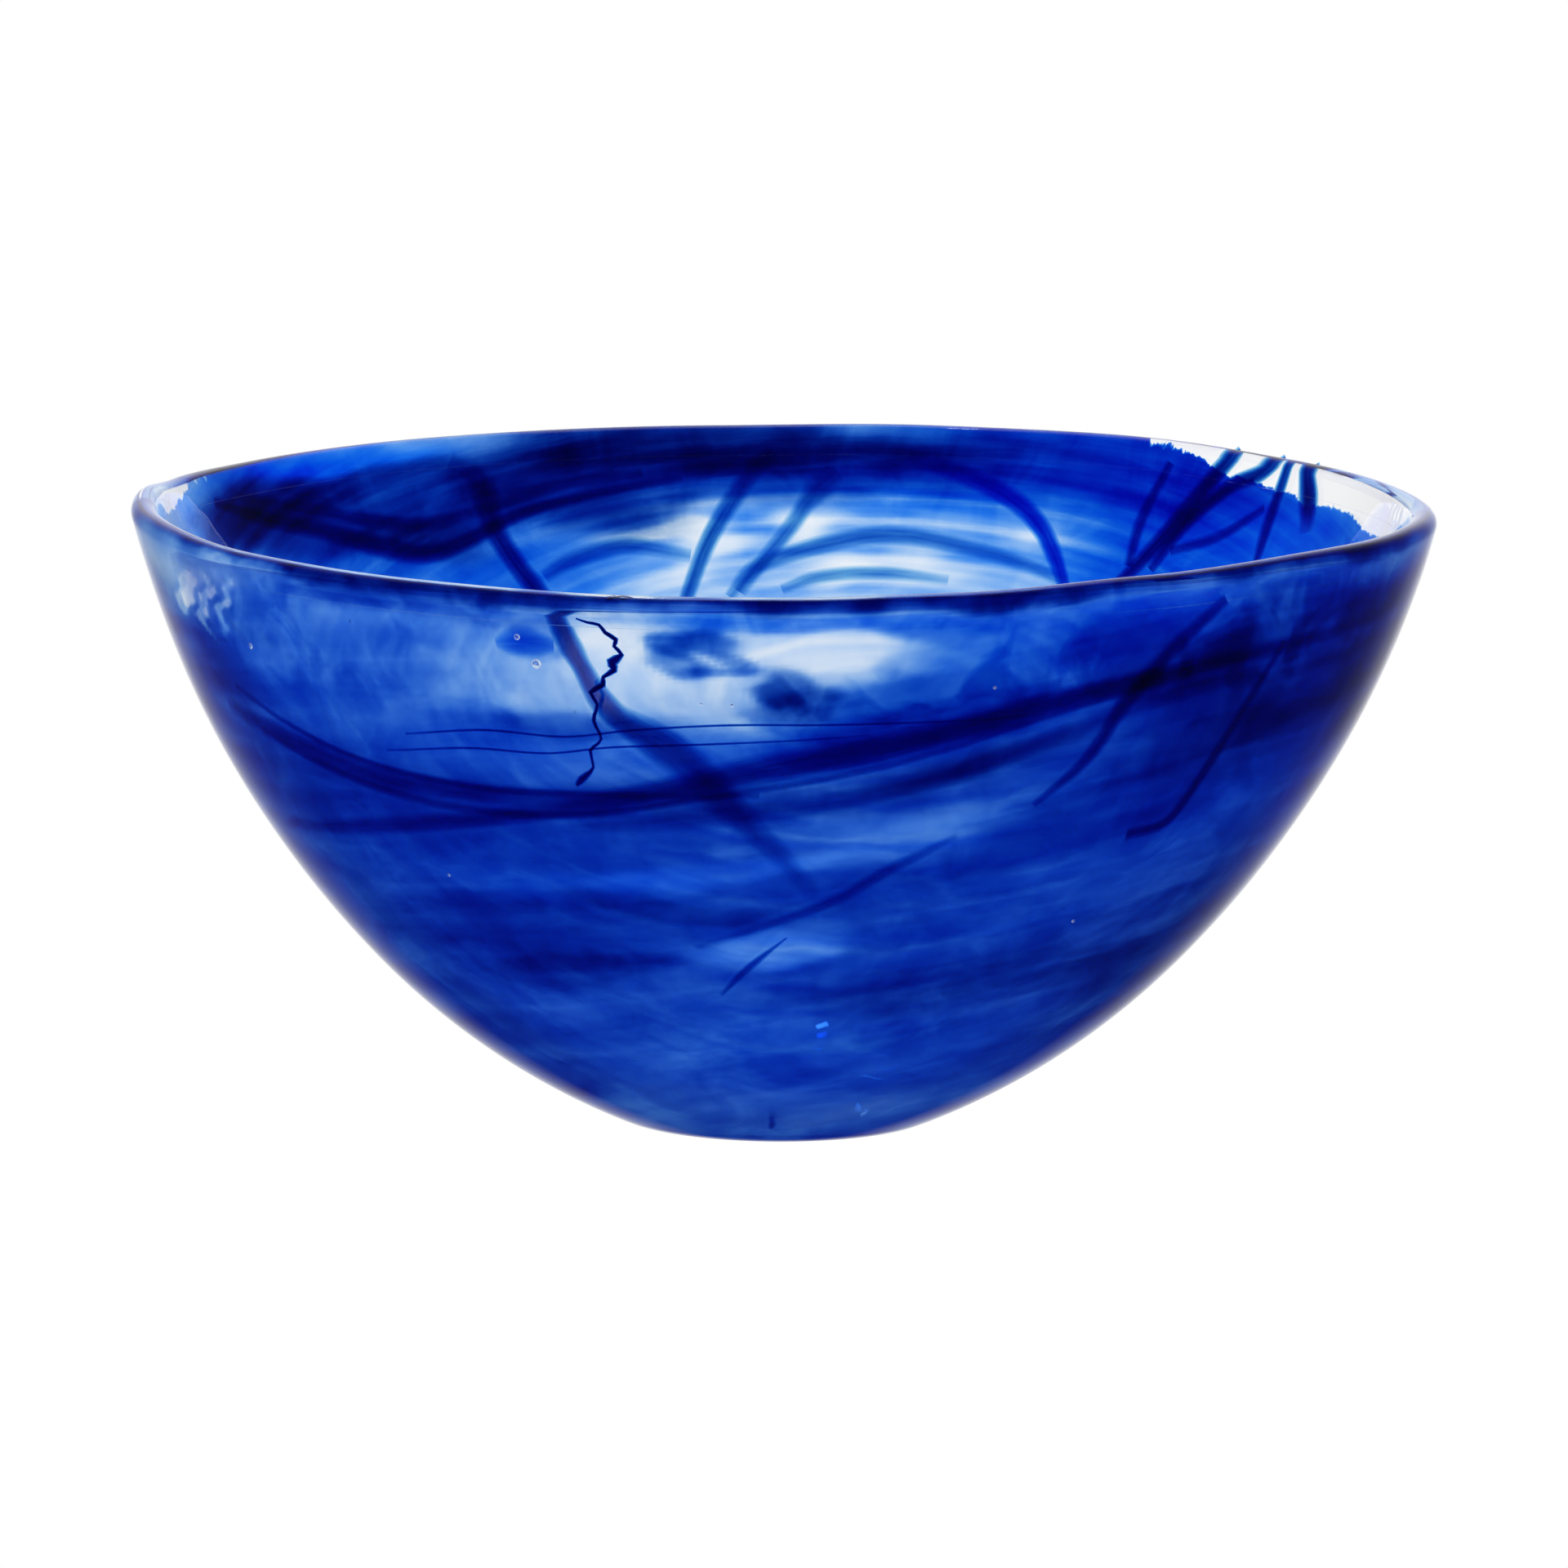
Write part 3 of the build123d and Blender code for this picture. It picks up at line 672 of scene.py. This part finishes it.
# Each strand is a list of (angle, height in mm, width in mm, depth of blue)
laid_on_veil = {
    "long_front_band": [
        [(-68, 88, 4, 0.1), (-48, 95, 7, 0.5), (-33, 101.5, 7, 0.65), (-22, 107, 8, 0.75),
         (-12, 113, 10, 0.9), (-4, 119, 11, 1.0), (8, 125.5, 11, 1.1), (18, 132, 10, 1.1),
         (33, 139.5, 8, 1.0), (50, 143.5, 7, 0.7), (76, 147, 4, 0.1)],
        [(-30, 99, 5, 0.05), (-10, 106, 8, 0.2), (4, 111, 8, 0.35), (14, 117, 8, 0.4),
         (24, 125, 8, 0.4), (36, 134, 8, 0.35), (54, 142, 6, 0.1)],
        [(-30, 104, 3, 0.1), (-18, 107, 3, 0.3), (-6, 113, 3, 0.4), (10, 121.5, 3, 0.4),
         (24, 132, 3, 0.3), (40, 141, 2, 0.1)],
        [(-37, 124.5, 0.9, 0.3), (-28, 128, 1.0, 0.8), (-20, 128, 0.9, 0.7), (-13, 131, 0.9, 0.7),
         (-4, 133, 0.9, 0.7), (10, 133, 0.9, 0.6), (24, 133, 0.9, 0.2)],
        [(-40, 119, 0.9, 0.3), (-30, 122.5, 1.0, 0.7), (-22, 123, 0.9, 0.7), (-15, 126, 0.9, 0.7),
         (-4, 128, 0.9, 0.6), (8, 130, 0.9, 0.2)]],
    "jagged_trail": [
        [(-17.6, 160.8, 0.6, 1), (-16.6, 159.9, 0.9, 2), (-15.6, 159.4, 1.1, 2),
         (-15.1, 157.4, 1.3, 2.4), (-14.2, 155.6, 1.6, 2.4), (-14.4, 153.8, 1.2, 2.4),
         (-13.8, 151.6, 1.6, 2.4), (-14.7, 149.4, 3.4, 2.2), (-14.6, 147.2, 2.2, 2.2),
         (-15.6, 145.2, 1.2, 2), (-15.7, 143.1, 2.0, 2), (-16.9, 140.8, 1.4, 1.8),
         (-16.4, 137.6, 1.0, 1.6), (-16.9, 133, 1.3, 1.8), (-16.4, 128, 0.9, 1.4),
         (-17.6, 124.5, 1.2, 1.6), (-17.5, 120, 0.9, 1.4), (-18.8, 116.4, 2.6, 1.6),
         (-19.5, 114.4, 1.2, 1)]],
    "blue_drop": [
        [(-25.2, 152.5, 4, 0.15), (-24, 153, 8, 0.4), (-22, 153.4, 10, 0.5), (-19.8, 153, 5, 0.3)]],
    "sliver_trail": [[(1.0, 72, 0.8, 0.3), (-3.5, 62.6, 3.0, 0.6), (-7.2, 54, 1.4, 0.2)]],
    "low_front_streak": [
        [(-9.5, 68.5, 3, 0.1), (4.6, 81.5, 5, 0.4), (11.6, 92, 5, 0.4), (17.8, 100.5, 3, 0.1)]],
    "foot_trail": [[(-1.2, 7.2, 1.4, 0.2), (-0.6, 9, 2.6, 0.5), (-0.8, 12.6, 1.6, 0.15)]],
    "diagonal_back_trail": [
        [(214, 158.5, 9, 0.2), (211, 153, 11, 0.7), (210, 140, 9, 1.0), (208, 129, 8, 1.1),
         (206, 120, 8, 1.1), (203.4, 102, 8, 1.1), (200.6, 88, 9, 1.0), (196.4, 81, 12, 0.9),
         (190.5, 71, 14, 0.8), (186, 61, 12, 0.6), (180, 50, 9, 0.35), (173.6, 40, 6, 0.1)]],
    "outer_back_arch": [
        [(185.5, 118.5, 4, 0.2), (183.3, 125.4, 6, 0.35), (180.7, 128.8, 6, 0.4),
         (175.5, 133, 6.6, 0.4), (169.8, 135.6, 6.6, 0.4), (163, 134, 6, 0.35),
         (154, 129, 5, 0.25), (147, 123, 4, 0.1)]],
    "inner_back_arch": [
        [(180, 120.4, 4, 0.15), (176.2, 123.8, 5, 0.3), (169.9, 125.1, 5, 0.3),
         (162.5, 123.9, 4, 0.1)]],
    "blue_back_arch": [
        [(168, 157.6, 6, 0.4), (161.2, 152, 7, 0.9), (156.3, 146, 7, 1.1), (153.2, 139, 6.5, 1.1),
         (151.3, 132, 6, 1.0), (149, 122, 4, 0.6)]],
    "right_back_trail": [
        [(132.2, 165.8, 6, 1.0), (134, 160, 7, 1.3), (136.9, 148, 8, 1.4), (139.5, 138.2, 7, 1.3),
         (143.5, 125, 5, 0.8)]],
    "side_back_trail": [
        [(126.2, 165.8, 5, 1.0), (128.6, 161, 6, 1.2), (132.3, 155.8, 6, 1.3),
         (136.5, 144.8, 5.6, 1.1), (139.7, 130.8, 4, 0.7)]],
    "side_post_trail": [[(124.6, 165.8, 5, 1.0), (125.4, 148, 6, 1.0), (125.5, 137, 4, 0.6)]],
    "side_column_trail": [
        [(122, 165.8, 7, 1.2), (120.2, 157, 10, 1.6), (119.4, 152, 9, 0.8), (119, 148, 8, 0.2)]],
}
royal_trails = ("blue_drop", "blue_back_arch")
layers_of_trails = 6
off_the_veil = 0.6
for number, (name, strands) in enumerate(laid_on_veil.items()):
    is_royal = name in royal_trails
    trail_depth = casing_wall - off_the_veil - 0.13 * (number % layers_of_trails)
    lay_trail(name, strands, trail_depth, royal_trail if is_royal else dark_trail)

# ---------------------------------------------------------------------------------------------
# The trails picked up first, under the veil: the same dark glass, rolled on to the first gather
# before the cobalt went over it, so they are seen through the veil and look softer.
picked_up_first = {
    "back_swirl_band": [
        [(249, 158, 4, 0.6), (240, 151, 7, 0.9), (231, 144.5, 8, 1.0), (223, 137, 8, 1.0),
         (218, 135, 7, 1.1), (213, 138, 6, 1.0), (207, 144, 5, 0.8), (200, 148, 4, 0.6),
         (190, 152, 3, 0.3)],
        [(244, 158, 4, 0.4), (233, 151, 6, 0.6), (226, 146.5, 6, 0.7), (218, 143, 6, 0.7),
         (211, 146, 5, 0.6), (203, 151, 5, 0.6), (194, 154, 4, 0.4)]],
    "middle_back_post": [
        [(181, 159, 6, 0.3), (182.8, 154.6, 7, 0.5), (184.9, 146.4, 7, 0.6), (187.6, 134.4, 6, 0.6),
         (190.3, 118, 5, 0.5)]],
    "left_back_arch": [
        [(205.5, 126.3, 5, 0.2), (202, 130.5, 6.6, 0.4), (196.2, 133.7, 6.4, 0.4),
         (189.5, 130.6, 5, 0.15)]],
    "knot_back_trail": [
        [(174.6, 153.5, 7, 0.2), (175.9, 150.6, 11, 0.45), (177.7, 144.7, 7, 0.45),
         (179.3, 138, 6, 0.4), (184.5, 120.5, 5, 0.25)]],
    "cross_back_trail": [[(139.6, 161, 4, 0.6), (141.7, 144.6, 5, 0.8), (142, 132, 4, 0.6)]],
    "side_back_arch": [[(126, 153, 3.6, 0.5), (131.3, 143.5, 4.4, 0.7), (137.2, 137.6, 4, 0.5)]],
    "lower_front_band": [
        [(-66, 122, 7, 0.3), (-54, 116.5, 10, 0.6), (-45, 112, 10, 0.6), (-37, 110, 10, 0.6),
         (-25, 110.3, 8, 0.5), (-13, 113, 6, 0.2)],
        [(-62, 129, 3, 0.2), (-52, 120, 3, 0.5), (-43, 114.6, 3, 0.5), (-30, 111.6, 3, 0.5),
         (-16, 112.6, 3, 0.4), (-2, 113.6, 3, 0.2)],
        [(-60, 118, 3, 0.2), (-50, 111, 4, 0.5), (-40, 106.5, 4, 0.5), (-28, 105, 4, 0.4),
         (-14, 107.5, 3, 0.1)]],
    "hook_front_trail": [
        [(41.5, 159, 5, 0.5), (37, 148.5, 7, 0.8), (32.8, 134.5, 7, 0.9), (31.3, 125.5, 6, 0.8),
         (29.4, 117.3, 5, 0.7), (25.6, 108, 3, 0.3)]],
    "branch_front_trail": [
        [(51, 145, 4, 0.5), (47.6, 124, 5, 0.7), (45.2, 107, 5, 0.8), (43.3, 98.8, 5, 0.8),
         (38.5, 96.7, 5, 0.7)]],
}
under_the_veil = 0.7
for number, (name, strands) in enumerate(picked_up_first.items()):
    trail_depth = lining_depth + under_the_veil + 0.16 * (number % layers_of_trails)
    lay_trail(name, strands, trail_depth, dark_trail)

# ---------------------------------------------------------------------------------------------
# The floor: a white light table of acrylic, evenly lit from within, which shows through the glass
# and runs on into the white background. It is left out of reflections, a simplification that
# keeps the outline from glaring.
floor_mesh = bpy.data.meshes.new("floor")
floor_half = 14.0
floor_level = -0.0004
floor_mesh.from_pydata([(x * floor_half, y * floor_half, floor_level)
                        for x, y in ((-1, -1), (1, -1), (1, 1), (-1, 1))], [], [(0, 1, 2, 3)])
floor = bpy.data.objects.new("floor", floor_mesh)
bpy.context.scene.collection.objects.link(floor)
light_table, tree, output = new_material("light_table_acrylic")
lit = add(tree, "Emission", {"Color": (1.0, 1.0, 1.0, 1.0), "Strength": 1.0})
tree.links.new(lit.outputs[0], output.inputs["Surface"])
floor_mesh.materials.append(light_table)
floor.visible_glossy = False

# What the skin mirrors is a dark studio with a tall white sheet behind the bowl. A simplification:
# light that goes through the glass, or is mirrored twice or more, meets a wide pale surround.
world = bpy.data.worlds.new("studio")
bpy.context.scene.world = world
world.use_nodes = True
tree = world.node_tree
heading = add(tree, "TexCoord")
ways = add(tree, "SeparateXYZ", {0: heading.outputs["Generated"]})
sideways = add(tree, "Math", {0: ways.outputs["X"]}, operation="ABSOLUTE")
sheet = add(tree, "ValToRGB", {0: sideways.outputs[0]})
ramp = sheet.color_ramp
sheet_fades = ((0.14, 0.85), (0.22, 0.66), (0.31, 0.42), (0.44, 0.17), (0.56, 0.06), (0.7, 0.02))
for place_on_ramp, brightness in sheet_fades:
    ramp.elements.new(place_on_ramp).color = (brightness, brightness, brightness, 1)
ramp.elements[0].color = (1, 1, 1, 1)
ramp.elements[-1].color = (0.01, 0.01, 0.01, 1)
behind = add(tree, "MapRange", {"Value": ways.outputs["Y"], "From Min": 0.1, "From Max": 0.5})
above = add(tree, "MapRange", {"Value": ways.outputs["Z"], "From Min": -0.55, "From Max": -0.2})
in_front = add(tree, "Math", {0: sheet.outputs[0], 1: behind.outputs[0]}, operation="MULTIPLY")
shining = add(tree, "Math", {0: in_front.outputs[0], 1: above.outputs[0]}, operation="MULTIPLY")
mirrored = add(tree, "Math", {0: shining.outputs[0], 1: 0.012}, operation="ADD")
wide = add(tree, "MapRange", {"Value": ways.outputs["Y"], "From Min": -0.6, "From Max": 0.2,
                              "To Min": 0.7})
path = add(tree, "LightPath")
deep = add(tree, "Math", {0: path.outputs["Glossy Depth"], 1: 1.5}, operation="GREATER_THAN")
from_within = add(tree, "Math", {0: path.outputs["Is Transmission Ray"], 1: deep.outputs[0]},
                  operation="MAXIMUM")
brightness = add(tree, "Mix", {0: from_within.outputs[0], 2: mirrored.outputs[0],
                               3: wide.outputs[0]})
tree.links.new(brightness.outputs[0], tree.nodes["Background"].inputs["Strength"])
tree.nodes["Background"].inputs["Color"].default_value = (1.0, 1.0, 1.0, 1.0)


def soft_box(name, place, aim, width, tall, power):
    """A soft box that faces a point."""
    lamp = bpy.data.lights.new(name, "AREA")
    lamp.shape = "RECTANGLE"
    lamp.size = width
    lamp.size_y = tall
    lamp.energy = power
    box = bpy.data.objects.new(name, lamp)
    bpy.context.scene.collection.objects.link(box)
    box.location = place
    box.rotation_euler = (Vector(aim) - Vector(place)).to_track_quat("-Z", "Y").to_euler()


soft_box("back_box", (-0.19, 0.69, 1.39), (0, 0, 0.1), 0.05, 0.03, 0.12)

# ---------------------------------------------------------------------------------------------
# The camera, a long lens 2.6 m in front of the bowl and a little above its rim. It looks down at
# the bowl and is rolled by half a degree.
camera_data = bpy.data.cameras.new("camera")
camera = bpy.data.objects.new("camera", camera_data)
bpy.context.scene.collection.objects.link(camera)
camera.location = (0.0, -2.6, 0.517)
look_down = 9.33
roll = 0.5
pitch = Euler((math.radians(90 - look_down), 0.0, 0.0)).to_matrix()
camera.rotation_euler = (pitch @ Matrix.Rotation(math.radians(roll), 3, "Z")).to_euler()
camera_data.sensor_width = 36.0
camera_data.lens = 224.2
camera_data.shift_x = 0.0042
bpy.context.scene.camera = camera

bpy.context.scene.view_settings.view_transform = "Standard"
# Light crosses many faces of the wall before it leaves; caustics are off, which spares noise
cycles = bpy.context.scene.cycles
cycles.max_bounces = 32
cycles.transmission_bounces = 32
cycles.glossy_bounces = 32
cycles.transparent_max_bounces = 96
cycles.caustics_refractive = False
cycles.caustics_reflective = False
